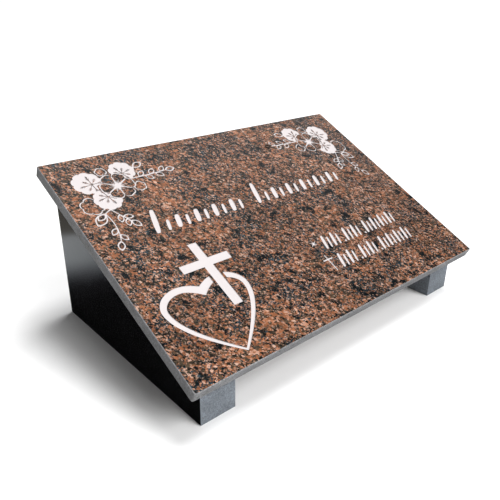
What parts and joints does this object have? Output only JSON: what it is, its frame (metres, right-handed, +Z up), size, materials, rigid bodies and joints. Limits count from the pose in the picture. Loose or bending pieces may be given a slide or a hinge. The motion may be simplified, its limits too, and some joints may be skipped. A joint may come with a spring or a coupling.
{
  "type": "granite headstone",
  "caption": "Sloping rectangular granite headstone slab on wedge supports, its top engraved and painted with a cross, a heart, flower sprays and rows of plain strokes.",
  "frame": {"origin": "on the floor, under the middle of the object's bounding box", "axes": "+X along the slab's length, to the right seen from its low front edge; +Y back towards the high edge; +Z up"},
  "size_m": [0.7, 0.4408, 0.295],
  "materials": {
    "red_granite": "polished",
    "black_granite": "polished outer sides, sawn elsewhere"
  },
  "bodies": {
    "root": {"slab": "red_granite", "left_support": "black_granite", "right_support": "black_granite"}
  },
  "joints": []
}
